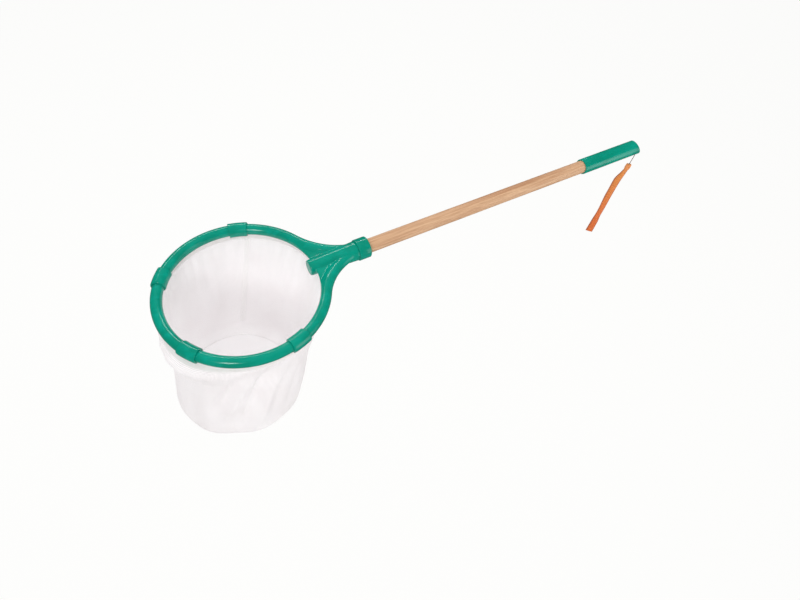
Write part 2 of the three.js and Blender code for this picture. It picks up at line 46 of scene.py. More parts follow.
# What several pieces share, in millimetres and degrees, as in the model
hoop = {"x": -597, "z": 4, "radius": 100, "tube": 7, "wall": 2, "slot": 3.6, "joint": 0.2}
joints = {"back": 72.4, "back_tip": 144.2, "front_tip": 213, "front": 287.6}
jointGap = degrees(hoop["joint"] / hoop["radius"])  # from a joint to the ends that meet there
sleeves = {"length": 24, "inner": 7.3, "outer": 9.2}
collar = {"start": -444, "face": -427, "lip": 2.4, "radius": 14.2, "spigot": 12, "soft": 1.1,
          "blunt": 1.6, "mouthEdge": 0.3}
handle = {"start": -487.4, "end": 41, "radius": 9.5, "fit": 0.3}
grip = {"start": -57, "end": 57, "radius": 11.5, "lean": 26, "edge": 0.8, "rounding": 1.1,
        "endWall": 2.4, "spare": 12}
hem = {"cord": 1.6, "fold": 2.2, "drop": 2.2, "skin": 0.5, "tail": 1.1, "tailHeight": 7, "steps": 240}
strap = {"pivot": (52, -8.768, -8.768), "lean": 8.2, "thread": 17, "keeperTop": 17.3, "keeper": 10,
         "hole": 1.2, "holeDepth": 8}


def eased(share):
    # From 0 to 1, slow at both ends, level beyond
    share = min(1, max(0, share))
    return share * share * (3 - 2 * share)


def evenSteps(start, end, steps):
    return [start + (end - start) * i / steps for i in range(steps + 1)]


def turnBetween(angle, other):
    return (angle - other + 180) % 360 - 180


def makeActive(piece, *others):
    bpy.ops.object.select_all(action="DESELECT")
    for item in (piece, *others):
        item.select_set(True)
    bpy.context.view_layer.objects.active = piece


def selectMesh():
    bpy.ops.mesh.select_all(action="SELECT")


def selectBy(kind):
    bpy.context.tool_settings.mesh_select_mode = [kind == each for each in ("verts", "edges", "faces")]


def startEditing(piece):
    makeActive(piece)
    selectBy("verts")
    bpy.ops.object.mode_set(mode="EDIT")
    selectMesh()


def stopEditing():
    bpy.ops.object.mode_set(mode="OBJECT")


def pick(piece, kind, test):
    # In edit mode: selects the verts, edges or faces that pass the test
    selectBy(kind)
    bpy.ops.mesh.select_all(action="DESELECT")
    cage = bmesh.from_edit_mesh(piece.data)
    for item in getattr(cage, kind):
        if test(item):
            item.select_set(True)
    cage.select_flush_mode()
    bmesh.update_edit_mesh(piece.data)


def bevelWhere(piece, test, width, segments):
    startEditing(piece)
    pick(piece, "edges", test)
    bpy.ops.mesh.bevel(offset=width * mm, segments=segments, profile=0.5)
    stopEditing()


def cleanUp(piece):
    startEditing(piece)
    bpy.ops.mesh.remove_doubles(threshold=1e-6)
    bpy.ops.mesh.normals_make_consistent()
    stopEditing()


def applyPlace(piece, **place):
    # Puts the piece's turn, size and place into its mesh
    for key, value in place.items():
        setattr(piece, key, value)
    makeActive(piece)
    bpy.ops.object.transform_apply()
    return piece


def newPiece(name, **place):
    # Names what was just added or joined
    bpy.context.object.name = name
    return applyPlace(bpy.context.object, **place)


def addModifier(piece, kind, **settings):
    modifier = piece.modifiers.new(kind.title(), kind)
    for key, value in settings.items():
        setattr(modifier, key, value)
    makeActive(piece)
    bpy.ops.object.modifier_apply(modifier=modifier.name)


def thicken(piece, thickness):
    addModifier(piece, "SOLIDIFY", thickness=thickness * mm, offset=0)


def cutAway(piece, cutter):
    addModifier(piece, "BOOLEAN", operation="DIFFERENCE", object=cutter, solver="EXACT")
    bpy.data.objects.remove(cutter)


def joinAll(name, pieces):
    makeActive(*pieces)
    bpy.ops.object.join()
    return newPiece(name)


def drawOutline(name, points):
    # Extrudes one vertex from point to point, in millimetres, and stays in edit mode
    bpy.ops.mesh.primitive_plane_add(size=mm, location=Vector(points[0]) * mm)
    piece = newPiece(name)
    startEditing(piece)
    bpy.ops.mesh.merge(type="CENTER")
    for before, after in zip(points, points[1:]):
        step = (Vector(after) - Vector(before)) * mm
        bpy.ops.mesh.extrude_region_move(TRANSFORM_OT_translate={"value": step})
    selectMesh()
    return piece


def turnAlongX(name, profile, steps=96):
    # A lathe job on the handle's axis: profile points are (x, radius)
    piece = drawOutline(name, [(x, 0, radius) for x, radius in profile])
    bpy.ops.mesh.spin(steps=steps, angle=tau, center=(0, 0, 0), axis=(1, 0, 0))
    stopEditing()
    cleanUp(piece)
    return piece


def roundEdge(x, radius, size, step=15, side=1):
    # The profile of a rounded edge, from its flat end up to its rim
    turns = [radians(angle) for angle in range(0, 91, step)]
    return [(x + side * size * (1 - cos(turn)), radius - size * (1 - sin(turn))) for turn in turns]


def around(angle, radius):
    # As (x, y) from the hoop's middle
    turn = radians(angle)
    return radius * cos(turn), radius * sin(turn)


def hoopPlace(angle, radius, z=0):
    x, y = around(angle, radius)
    return Vector((hoop["x"] + x, y, hoop["z"] + z)) * mm


def spinRoundHoop(steps, sweep):
    centre = (hoop["x"] * mm, 0, hoop["z"] * mm)
    bpy.ops.mesh.spin(steps=steps, angle=-radians(sweep), center=centre, axis=(0, 0, 1))


def ringAt(name, angle, radius, vertices=48, z=0):
    # A circle that stands across the hoop's tube
    bpy.ops.mesh.primitive_circle_add(
        vertices=vertices, radius=radius * mm, location=hoopPlace(angle, hoop["radius"], z),
        rotation=(radians(90), 0, radians(angle)))
    return newPiece(name)


def acrossTube(point):
    # How far out and up a point lies from the middle of the hoop's tube, in millimetres
    x, y, z = point / mm
    return hypot(x - hoop["x"], y) - hoop["radius"], z - hoop["z"]


def angleOf(point):
    return degrees(atan2(point.y / mm, point.x / mm - hoop["x"]))


def pushOut(vertex, out, up=0):
    # Moves a vertex away from the hoop's middle, and up
    vertex.co += Vector((*around(angleOf(vertex.co), out), up)) * mm


def openSlot(piece):
    # Takes the vertices over the slot off a ring, so that the tube it makes is open below
    def inSlot(vertex):
        out, up = acrossTube(vertex.co)
        return up < 0 and abs(out) < hoop["slot"] / 2 - 0.05
    pick(piece, "verts", inSlot)
    bpy.ops.mesh.delete(type="VERT")
    selectMesh()


def faceOut(piece):
    # Turns an open tube's faces away from the tube's middle
    startEditing(piece)
    bpy.ops.mesh.normals_make_consistent()
    faces = bmesh.from_edit_mesh(piece.data).faces
    faces.ensure_lookup_table()
    middle = faces[0].calc_center_median()
    out, up = acrossTube(middle)
    if faces[0].normal.dot(Vector((*around(angleOf(middle), out), up))) < 0:
        bpy.ops.mesh.flip_normals()
    stopEditing()


def slottedTube(name, radius, wall, start, end, vertices=48, stepAngle=1.5):
    piece = ringAt(name, start, radius, vertices)
    startEditing(piece)
    openSlot(piece)
    spinRoundHoop(max(6, round((end - start) / stepAngle)), end - start)
    stopEditing()
    faceOut(piece)
    addModifier(piece, "SOLIDIFY", thickness=wall * mm, offset=-1, use_even_offset=True)
    cleanUp(piece)
    return piece


def closeEnds(piece):
    # Fills the open ends of a tube
    startEditing(piece)
    bpy.ops.mesh.remove_doubles(threshold=1e-6)
    selectBy("edges")
    bpy.ops.mesh.select_non_manifold(
        extend=False, use_wire=False, use_multi_face=False, use_non_contiguous=False, use_verts=False)
    bpy.ops.mesh.edge_face_add()
    selectMesh()
    bpy.ops.mesh.normals_make_consistent()
    stopEditing()


def roundArc(name, radius, reach, z=0):
    # A round bar along the hoop, as long on both sides of the fork, closed at its ends
    piece = ringAt(name, -reach, radius, z=z)
    startEditing(piece)
    spinRoundHoop(fork["steps"], 2 * reach)
    stopEditing()
    closeEnds(piece)
    return piece


def settle(piece, material, node=None, smoothAngle=35, body="net"):
    # Gives a finished piece its look and its body, and hides the node that it replaces
    applyPlace(piece)
    bpy.ops.object.shade_smooth_by_angle(angle=radians(smoothAngle))
    piece.data.materials.clear()
    piece.data.materials.append(material)
    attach(piece, body)
    if node:
        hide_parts(node)
    return piece


def mathsNode(operation, flipped=False):
    # A method for Number that adds one Math node
    def method(self, *others):
        terms = [*others, self] if flipped else [self, *others]
        node = self.finish.node("Math", {"operation": operation}, dict(enumerate(terms)))
        return Number(self.finish, node.outputs[0])
    return method


class Number:
    # A value that changes over a surface, so that shader maths reads as arithmetic
    def __init__(self, finish, socket):
        self.finish = finish
        self.socket = socket

    __add__ = __radd__ = mathsNode("ADD")
    __sub__ = mathsNode("SUBTRACT")
    __rsub__ = mathsNode("SUBTRACT", flipped=True)
    __mul__ = __rmul__ = mathsNode("MULTIPLY")
    __pow__ = mathsNode("POWER")
    atMost = mathsNode("MINIMUM")
    sine = mathsNode("SINE")
    size = mathsNode("ABSOLUTE")

    def rising(self, low, high):
        # 0 below low, 1 above high, smooth between
        sockets = {"Value": self, "From Min": low, "From Max": high}
        node = self.finish.node("MapRange", {"interpolation_type": "SMOOTHSTEP"}, sockets)
        return Number(self.finish, node.outputs["Result"])


class Finish:
    # One material, or the world, and the nodes that make it
    def __init__(self, name, kind="materials"):
        self.owner = getattr(bpy.data, kind).new(name)
        self.owner.use_nodes = True
        self.tree = self.owner.node_tree
        self.tree.nodes.clear()

    def feed(self, socket, value):
        if isinstance(value, Number):
            value = value.socket
        if isinstance(value, bpy.types.NodeSocket):
            self.tree.links.new(value, socket)
        else:
            socket.default_value = value

    def node(self, kind, settings, sockets):
        made = self.tree.nodes.new("ShaderNode" + kind)
        for key, value in settings.items():
            setattr(made, key, value)
        for key, value in sockets.items():
            self.feed(made.inputs[key], value)
        return made

    def objectPlace(self, scale=(1, 1, 1)):
        source = self.node("TexCoord", {}, {}).outputs["Object"]
        return self.node("Mapping", {}, {"Vector": source, "Scale": scale}).outputs[0]

    def flatMap(self):
        return self.node("UVMap", {"uv_map": "UVMap"}, {}).outputs[0]

    def parts(self, vector):
        split = self.node("SeparateXYZ", {}, {"Vector": vector})
        return [Number(self, output) for output in split.outputs]

    def noise(self, scale, detail=3, stretch=(1, 1, 1), roughness=0.5, distortion=0):
        sockets = {"Vector": self.objectPlace(stretch), "Scale": scale, "Detail": detail,
                   "Roughness": roughness, "Distortion": distortion}
        return Number(self, self.node("TexNoise", {}, sockets).outputs["Fac"])

    def mixed(self, share, first, second):
        # By number, because its sockets for colours share their names with others
        return self.node("Mix", {"data_type": "RGBA"}, {0: share, 6: first, 7: second}).outputs[2]

    def bump(self, height, strength, distance, before=None):
        sockets = {"Height": height, "Strength": strength, "Distance": distance}
        if before is not None:
            sockets["Normal"] = before
        return self.node("Bump", {}, sockets).outputs[0]

    def glow(self, kind, shade, strength):
        return self.node(kind, {}, {"Color": shade, "Strength": strength}).outputs[0]

    def either(self, share, first, second):
        # The second shader where the share is 1
        return self.node("MixShader", {}, {0: share, 1: first, 2: second}).outputs[0]

    def done(self, **sockets):
        shader = self.node("BsdfPrincipled", {}, {key.replace("_", " "): sockets[key] for key in sockets})
        self.node("OutputMaterial", {}, {"Surface": shader.outputs[0]})
        return self.owner


def colour(red, green, blue):
    # From the 0 to 255 values of a picture to the shader's own
    def one(value):
        share = value / 255
        return share / 12.92 if share <= 0.04045 else ((share + 0.055) / 1.055) ** 2.4
    return (one(red), one(green), one(blue), 1)


def makeGreenPlastic():
    look = {"deep": colour(0, 136, 113), "mid": colour(0, 150, 127), "pale": colour(2, 162, 142)}
    finish = Finish("greenPlastic")
    cloud = finish.noise(38)
    flow = finish.noise(1, 2, (40, 160, 160))
    base = finish.mixed(cloud.rising(0.3, 0.7), look["deep"], look["mid"])
    base = finish.mixed(flow.rising(0.45, 0.8) * 0.55, base, look["pale"])
    peel = finish.bump(finish.noise(420, 2), 0.07, 0.0003)
    normal = finish.bump(finish.noise(900, 2), 0.03, 0.0001, peel)
    rough = 0.14 + cloud * 0.07
    return finish.done(Base_Color=base, Roughness=rough, Normal=normal, Specular_IOR_Level=0.36)


def makeWood():
    look = {"pale": colour(219, 178, 140), "mid": colour(202, 155, 117), "dark": colour(170, 121, 86),
            "shadedStreak": colour(176, 122, 84)}
    finish = Finish("pineWood")
    x, y, z = finish.parts(finish.objectPlace())
    grain = finish.noise(3.2, 6, (3, 110, 110), 0.62, 0.6)
    fine = finish.noise(1.4, 3, (14, 900, 900))
    rings = ((finish.noise(2.4, 3, (2.2, 46, 46)) * 46).sine() * 0.5 + 0.5) ** 3
    base = finish.mixed(grain.rising(0.35, 0.68), look["pale"], look["mid"])
    base = finish.mixed(rings * 0.3, base, look["dark"])
    base = finish.mixed(fine.rising(0.55, 0.75) * 0.28, base, look["dark"])
    # A darker streak along the middle of the dowel's upper side: partly a streak in the wood, partly
    # painted shade on the upper side
    along = x.rising(-0.33, -0.22) * (1 - x.rising(-0.16, -0.07))
    top = (z + y * 0.55).rising(0.0068, 0.0092)
    base = finish.mixed(along * top * (0.35 + grain * 0.4), base, look["shadedStreak"])
    normal = finish.bump(grain * 0.6 + fine * 0.5, 0.25, 0.0003)
    return finish.done(Base_Color=base, Roughness=0.5 + fine * 0.16, Normal=normal)


def makeSteel():
    finish = Finish("screwSteel")
    brushed = finish.noise(1, 3, (900, 900, 60))
    base = finish.mixed(brushed, colour(168, 170, 174), colour(205, 207, 210))
    return finish.done(Base_Color=base, Roughness=0.28 + brushed * 0.2, Metallic=1.0)


def makeFibre(name, fineness, dark, pale, roughness, relief):
    finish = Finish(name)
    fuzz = finish.noise(fineness)
    base = finish.mixed(fuzz, dark, pale)
    return finish.done(Base_Color=base, Roughness=roughness, Normal=finish.bump(fuzz, relief, 0.0002))


def makeRibbon(name, lift):
    # Ribs across the ribbon, a tight edge, and a colour that deepens towards the lower end
    look = {"head": colour(240, 150, 78), "mid": colour(232, 143, 60), "low": colour(228, 108, 34),
            "edge": colour(172, 84, 42)}
    finish = Finish(name)
    u, v, _ = finish.parts(finish.flatMap())
    below = 0 - finish.parts(finish.objectPlace())[2]
    ribs = (v * 1500).sine() * 0.5 + 0.5
    warp = (u * 120).sine() * 0.5 + 0.5
    shade = finish.noise(60, 2)
    base = finish.mixed(below.rising(0.03, 0.155) * 0.9 + shade * 0.1, look["mid"], look["low"])
    base = finish.mixed((1 - below.rising(0.024, 0.05)) * 0.8 + lift, base, look["head"])
    selvedge = (u - 0.5).size().rising(0.3, 0.47)
    base = finish.mixed(selvedge * 0.6 + ribs * 0.06, base, look["edge"])
    normal = finish.bump(ribs * 0.7 + warp * 0.4, 0.45, 0.00025)
    return finish.done(Base_Color=base, Roughness=0.62 - ribs * 0.1, Normal=normal, Sheen_Weight=0.25)


def makeCloth(name, pale, shade):
    # A fine mesh: threads both ways on the cloth's own flat map
    threads = {"across": 500, "down": 170}
    finish = Finish(name)
    u, v, _ = finish.parts(finish.flatMap())
    across = (u * (threads["across"] * pi)).sine().size() ** 0.7
    down = (v * (threads["down"] * pi)).sine().size() ** 0.7
    holes = across * down
    cloud = finish.noise(26)
    base = finish.mixed(cloud.rising(0.3, 0.75), pale, shade)
    normal = finish.bump(1 - holes, 0.3, 0.0002)
    gaps = holes.rising(0.3, 0.75) * 0.5
    # The cloth also glows faintly in its own colour: painted light that stands in for light passing
    # through the cloth
    return finish.done(Base_Color=base, Roughness=0.88 - cloud * 0.08, Normal=normal, Alpha=0.95 - gaps,
                       Emission_Color=base, Emission_Strength=0.1)


def makeTape():
    finish = Finish("whiteTape")
    weave = finish.noise(1500, 2)
    base = finish.mixed(finish.noise(40, 2), colour(247, 244, 243), colour(238, 235, 235))
    normal = finish.bump(weave, 0.3, 0.0002)
    return finish.done(Base_Color=base, Roughness=0.85 + weave * 0.1, Normal=normal)


greenPlastic = makeGreenPlastic()
pineWood = makeWood()
screwSteel = makeSteel()
darkThread = makeFibre("darkThread", 2600, colour(104, 82, 74), colour(150, 124, 110), 0.9, 0.5)
ribbonCloth = makeRibbon("orangeRibbon", 0)
keeperCloth = makeRibbon("orangeKeeper", 0.25)
meshCloth = makeCloth("whiteMesh", colour(250, 247, 248), colour(245, 241, 242))
# The seam and base cloths are lighter copies of the mesh cloth: painted light that offsets the shade on
# the seams and the base
seamCloth = makeCloth("whiteSeam", colour(252, 250, 250), colour(250, 247, 247))
baseCloth = makeCloth("whiteBase", colour(252, 250, 251), colour(249, 246, 247))
whiteTape = makeTape()
whiteCord = makeFibre("whiteCord", 1900, colour(240, 237, 233), colour(224, 220, 214), 0.88, 0.4)
print("finishes made")

# Found from the hoop's round shape and the handle's edges in the picture
camera = {"place": (-694.86, -452.76, 598.32), "turn": (36.3192, -4.723, -29.9152), "lens": 27.18}
bpy.ops.object.camera_add(location=Vector(camera["place"]) * mm,
                          rotation=[radians(turn) for turn in camera["turn"]])
scene.camera = bpy.context.object
scene.camera.data.lens = camera["lens"]
scene.camera.data.clip_start = 0.01
print("camera placed")


def makeHoopTubes():
    angles = list(joints.values())
    for side, start, end in zip(("back", "tip", "front"), angles, angles[1:]):
        tube = slottedTube("hoopTube" + side.title(), hoop["tube"], hoop["wall"], start + jointGap,
                           end - jointGap)
        settle(tube, greenPlastic, "hoop_tube_" + side)


def makeSleeves():
    # Each has a wide chamfer at one end and a soft edge at the other
    look = {"chamfer": 1.6, "softEdge": 0.3, "segments": 3, "vertices": 64, "stepAngle": 1.2}
    half = degrees(sleeves["length"] / 2 / hoop["radius"])
    middle = (sleeves["inner"] + sleeves["outer"]) / 2
    wall = sleeves["outer"] - sleeves["inner"]
    for i, (side, angle) in enumerate(joints.items()):
        name = "sleeve" + side.title().replace("_", "")
        sleeve = slottedTube(name, sleeves["outer"], wall, angle - half, angle + half, look["vertices"],
                             look["stepAngle"])
        chamferEnd = -1 if i % 2 == 0 else 1
        for end in (-1, 1):
            width = look["chamfer"] if end == chamferEnd else look["softEdge"]
            endAngle = angle + end * half

            def onRim(edge):
                return all(abs(turnBetween(angleOf(vertex.co), endAngle)) < 0.02
                           and hypot(*acrossTube(vertex.co)) > middle for vertex in edge.verts)
            bevelWhere(sleeve, onRim, width, look["segments"])
        settle(sleeve, greenPlastic, "hoop_sleeve_" + side)


fork = {"sweep": 90, "across": 92.5, "drop": 2.6, "endX": 150, "plateTop": 5.3, "plateBottom": -1,
        "noseX": -511, "noseRadius": 10.2, "noseEdge": 1.2, "socket": 13, "channel": 3.1, "cutPast": 3,
        "steps": 110}
pocket = {"start": 38, "fromRing": 8.6, "foot": 9.5, "rim": 0.8, "top": 12.5, "halfGap": 3}
forkReach = sqrt((hoop["radius"] + fork["sweep"]) ** 2 - fork["across"] ** 2)
forkLeave = degrees(atan2(fork["across"], forkReach))
forkTurn = 90 - forkLeave - degrees(asin((forkReach - fork["endX"]) / fork["sweep"]))


def slotWall(reach, low):
    # The curved blade that cuts the slot under the tube
    half = hoop["slot"] / 2
    high = -hoop["tube"] / 2
    corners = ((-half, low), (half, low), (half, high), (-half, high))
    piece = drawOutline("hemSlot", [hoopPlace(-reach, hoop["radius"] + x, z) / mm for x, z in corners])
    bpy.ops.mesh.edge_face_add()
    selectMesh()
    spinRoundHoop(fork["steps"], 2 * reach)
    stopEditing()
    closeEnds(piece)
    return piece


def armPoint(side, share, inward):
    # On the line of an arm, moved towards the fork's inside, as (x, y) from the hoop's middle
    turn = radians(forkLeave + forkTurn * share)
    sweep = fork["sweep"] + inward
    return forkReach - sweep * cos(turn), side * (fork["across"] - sweep * sin(turn))


def makeArm(side):
    # A round bar that leaves the hoop and sinks to the socket's level
    arm = ringAt("yokeArm", side * forkLeave, hoop["tube"])
    startEditing(arm)
    centre = Vector((hoop["x"] + forkReach, side * fork["across"], hoop["z"])) * mm
    bpy.ops.mesh.spin(steps=44, angle=-side * radians(forkTurn), center=centre, axis=(0, 0, 1))
    stopEditing()
    closeEnds(arm)
    reachX = armPoint(side, 0, 0)[0]
    for vertex in arm.data.vertices:
        share = (vertex.co.x / mm - hoop["x"] - reachX) / (fork["endX"] - reachX)
        vertex.co.z -= fork["drop"] * eased(share) * mm
    return arm


def plateBetween(name, line, low, high, topLine=None):
    # A flat plate inside an outline of (x, y) points from the hoop's middle, with a wider top if given
    plate = drawOutline(name, [(hoop["x"] + x, y, low) for x, y in line])
    bpy.ops.mesh.edge_face_add()
    bpy.ops.mesh.extrude_region_move(TRANSFORM_OT_translate={"value": (0, 0, (high - low) * mm)})
    stopEditing()
    if topLine:
        for vertex in plate.data.vertices:
            if vertex.co.z / mm > (low + high) / 2:
                spot = (vertex.co.x / mm - hoop["x"], vertex.co.y / mm)
                x, y = topLine[min(range(len(line)), key=lambda i: dist(line[i], spot))]
                vertex.co.x, vertex.co.y = (hoop["x"] + x) * mm, y * mm
    cleanUp(plate)
    return plate


def bothSides(line):
    # Comes back along the line's mirror image
    return line + [(x, -y) for x, y in reversed(line)]


def pocketEdge(rim):
    # Leaves the tube's inner side, then runs inside the arm's crest, and back along the other arm
    angles = evenSteps(pocket["start"], forkLeave, 8)
    radii = evenSteps(hoop["radius"] - pocket["fromRing"], hoop["radius"] - rim, 8)
    side = [around(angle, radius) for angle, radius in zip(angles, radii)]
    for i in range(1, 17):
        x, y = armPoint(1, i / 16, rim)
        side.append((x, max(y, pocket["halfGap"] + 0.1 * rim)))
    return bothSides(side)


def meltTogether(piece, voxel, passes):
    addModifier(piece, "REMESH", mode="VOXEL", voxel_size=voxel * mm, adaptivity=0)
    addModifier(piece, "SMOOTH", factor=0.5, iterations=passes)


def makeYoke():
    size = {"voxel": 0.6, "soften": 24, "settle": 4}
    limit = joints["back"] - jointGap
    plateEdge = [around(angle, hoop["radius"]) for angle in evenSteps(-forkLeave, forkLeave, 24)]
    plateEdge += bothSides([armPoint(1, i / 16, 0) for i in range(1, 17)])
    base = joinAll("yokeBase", [
        roundArc("yokeArc", hoop["tube"], limit), makeArm(1), makeArm(-1),
        plateBetween("yokeWeb", plateEdge, fork["plateBottom"], fork["plateTop"] + 1)])
    meltTogether(base, size["voxel"], size["settle"])
    cutAway(base, plateBetween("yokePocket", pocketEdge(pocket["foot"]), fork["plateTop"], pocket["top"],
                               pocketEdge(pocket["rim"])))
    shoulder = collar["start"] - 0.15
    mouth = collar["face"] - collar["lip"] - handle["fit"]
    socket = turnAlongX("yokeSocket", [
        (fork["noseX"], 0), *roundEdge(fork["noseX"], fork["noseRadius"], fork["noseEdge"], 30),
        (shoulder, fork["socket"]), (shoulder, collar["spigot"]), (mouth, collar["spigot"]), (mouth, 0)])
    yoke = joinAll("yokeBody", [base, socket])
    meltTogether(yoke, size["voxel"], size["soften"])
    past = limit + fork["cutPast"]
    cutAway(yoke, roundArc("hemChannel", fork["channel"], past, -hem["drop"]))
    cutAway(yoke, slotWall(past, -2 * fork["socket"]))
    reachIn = handle["start"] - handle["fit"]
    bore = handle["radius"] + handle["fit"]
    cutAway(yoke, turnAlongX("handleBore", [
        (reachIn, 0), (reachIn, bore), (mouth + 2, bore), (mouth + 2, 0)], 64))
    cutAway(yoke, screwCutter(screws["socketX"], fork["socket"]))
    settle(yoke, greenPlastic, "yoke", 60)
    print("yoke:", len(yoke.data.polygons), "faces")


screws = {"socketX": -458, "gripX": -45, "head": 2.7, "shank": 1.4, "length": 14, "sink": 0.4,
          "headEdge": 0.15, "neck": 1.2, "ridges": 8, "pitch": 1.1, "ridge": 0.35, "crest": 0.25,
          "point": 1.4, "cross": 0.75, "crossReach": 1.9, "crossDepth": 1.0}


def standUp(piece, x, surface):
    # From lying on the handle's axis to pointing up into its underside
    return applyPlace(piece, rotation_euler=(0, -radians(90), 0),
                      location=(x * mm, 0, (screws["sink"] - surface) * mm))


def screwCutter(x, surface):
    head = screws["head"] + handle["fit"]
    shank = screws["shank"] + handle["fit"]
    profile = [(-2, 0), (-2, head), (0, head), (head - shank, shank), (screws["length"], shank),
               (screws["length"], 0)]
    return standUp(turnAlongX("screwCutter", profile, 40), x, surface)


def makeScrew(name, node, x, surface):
    head, shank, length, ridge = screws["head"], screws["shank"], screws["length"], screws["ridge"]
    core, edge = shank - ridge, screws["headEdge"]
    profile = [(0, 0), (0, head - edge), (edge, head), (head - shank, shank)]
    for i in range(screws["ridges"]):  # the thread
        start = head - shank + screws["neck"] + i * screws["pitch"]
        end = start + ridge + screws["crest"]
        profile += [(start, core), (start + ridge, shank), (end, shank), (end + ridge, core)]
    profile += [(length - screws["point"], core), (length, 0)]
    screw = turnAlongX(name, profile, 40)
    for turn in (0, 90):  # the driver's cross
        bpy.ops.mesh.primitive_cube_add(size=mm, location=(0, 0, 0), rotation=(radians(turn), 0, 0))
        reach = (2 * screws["crossDepth"], screws["cross"], 2 * screws["crossReach"])
        cutAway(screw, newPiece("crossBlade", scale=reach))
    standUp(screw, x, surface)
    settle(screw, screwSteel, node, 30)


def makeCollar():
    inner = collar["spigot"] + handle["fit"]
    mouth = handle["radius"] + handle["fit"]
    start, face, radius = collar["start"], collar["face"], collar["radius"]
    step, edge = face - collar["lip"], collar["mouthEdge"]
    front = roundEdge(face, radius, collar["blunt"], side=-1)
    piece = turnAlongX("socketCollar", [
        (start, inner), *roundEdge(start, radius, collar["soft"]), *reversed(front), (face, mouth + edge),
        (face - edge, mouth), (step, mouth), (step, inner), (start, inner)])
    settle(piece, greenPlastic, "socket_collar")


def makeHandle():
    look = {"chamfer": 1, "bands": 60}
    start, end, radius = handle["start"], handle["end"], handle["radius"]
    dowel = turnAlongX("handleDowel", [
        (start, 0), (start, radius - look["chamfer"]), (start + look["chamfer"], radius),
        *[(x, radius) for x in evenSteps(start, end, look["bands"])[1:-1]],
        (end - look["chamfer"], radius), (end, radius - look["chamfer"]), (end, 0)], 80)
    for vertex in dowel.data.vertices:  # a dowel is never quite round
        wave = 0.05 * sin(vertex.co.x * 37) + 0.04 * sin(vertex.co.x * 91 + 2)
        vertex.co.y *= 1 + wave * 0.12
        vertex.co.z *= 1 - wave * 0.12
    cutAway(dowel, screwCutter(screws["socketX"], fork["socket"]))
    cutAway(dowel, screwCutter(screws["gripX"], grip["radius"]))
    settle(dowel, pineWood, "handle_dowel")


gripLean = radians(grip["lean"])
gripAway = Vector((cos(gripLean), 0, sin(gripLean)))  # out of the grip's slanted end


def slantedEnd(piece, x):
    startEditing(piece)
    bpy.ops.mesh.bisect(plane_co=(x * mm, 0, 0), plane_no=gripAway, use_fill=True, clear_outer=True)
    stopEditing()


def makeGrip():
    start, end, radius, soft = grip["start"], grip["end"], grip["radius"], grip["edge"]
    past = end + grip["spare"]
    bar = turnAlongX("gripTube", [
        (start, 0), (start, radius - soft), (start + 0.25, radius - 0.25), (start + soft, radius),
        (past, radius), (past, 0)])
    slantedEnd(bar, end)

    def onEndRim(edge):
        return all(abs((vertex.co - Vector((end * mm, 0, 0))).dot(gripAway)) < 1e-5
                   and hypot(vertex.co.y, vertex.co.z) > (radius - 0.3) * mm for vertex in edge.verts)
    bevelWhere(bar, onEndRim, grip["rounding"], 4)
    bore = handle["radius"] + handle["fit"]
    hollow = turnAlongX("gripBore", [(start - 1, 0), (start - 1, bore), (past, bore), (past, 0)])
    slantedEnd(hollow, end - grip["endWall"] / cos(gripLean))
    cutAway(bar, hollow)
    along = strapLine(1) - strapLine(0)
    bpy.ops.mesh.primitive_cylinder_add(
        vertices=32, radius=strap["hole"] * mm, depth=strap["holeDepth"] * mm,
        location=strapLine(radius), rotation=along.to_track_quat("Z", "Y").to_euler())
    cutAway(bar, newPiece("strapHole"))
    cutAway(bar, screwCutter(screws["gripX"], radius))
    settle(bar, greenPlastic, "grip")


def strapLine(out):
    # A point on the line of the strap's hole, that far from the handle's axis
    share = out / sqrt(2)
    return Vector((strap["pivot"][0], -share, -share)) * mm


def hangFromPivot(piece):
    return applyPlace(piece, rotation_euler=(0, radians(strap["lean"]), 0),
                      location=Vector(strap["pivot"]) * mm)


def twistedStrands(name, points, radius, strandRadius, pitch, strands):
    # Strands wound round a line of points
    pieces = []
    last = len(points) - 1
    for strand in range(strands):
        curve = bpy.data.curves.new(name + "Strand", "CURVE")
        curve.dimensions = "3D"
        curve.bevel_depth = strandRadius * mm
        curve.bevel_resolution = 2
        curve.use_fill_caps = True
        line = curve.splines.new("POLY")
        line.points.add(last)
        travelled = 0
        for i, point in enumerate(points):
            ahead = (points[min(i + 1, last)] - points[max(i - 1, 0)]).normalized()
            if i == 0:
                side = ahead.orthogonal().normalized()
            else:
                side = (side - ahead * side.dot(ahead)).normalized()
                travelled += (point - points[i - 1]).length
            turn = Matrix.Rotation(tau * (travelled / (pitch * mm) + strand / strands), 3, ahead)
            line.points[i].co = (*(point + turn @ side * radius * mm), 1)
        piece = bpy.data.objects.new(name + "Strand", curve)
        scene.collection.objects.link(piece)
        makeActive(piece)
        bpy.ops.object.convert(target="MESH")
        pieces.append(bpy.context.object)
    return joinAll(name, pieces)


def knotLine(centre, size):
    # A closed overhand knot, drawn small and tight
    line = []
    for i in range(72):
        t = tau * i / 71 * 0.98
        line.append(centre + Vector(((sin(t) + 2 * sin(2 * t)) / 3, (cos(t) - 2 * cos(2 * t)) / 3,
                                     -sin(3 * t) / 1.6)) * size * mm)
    return line


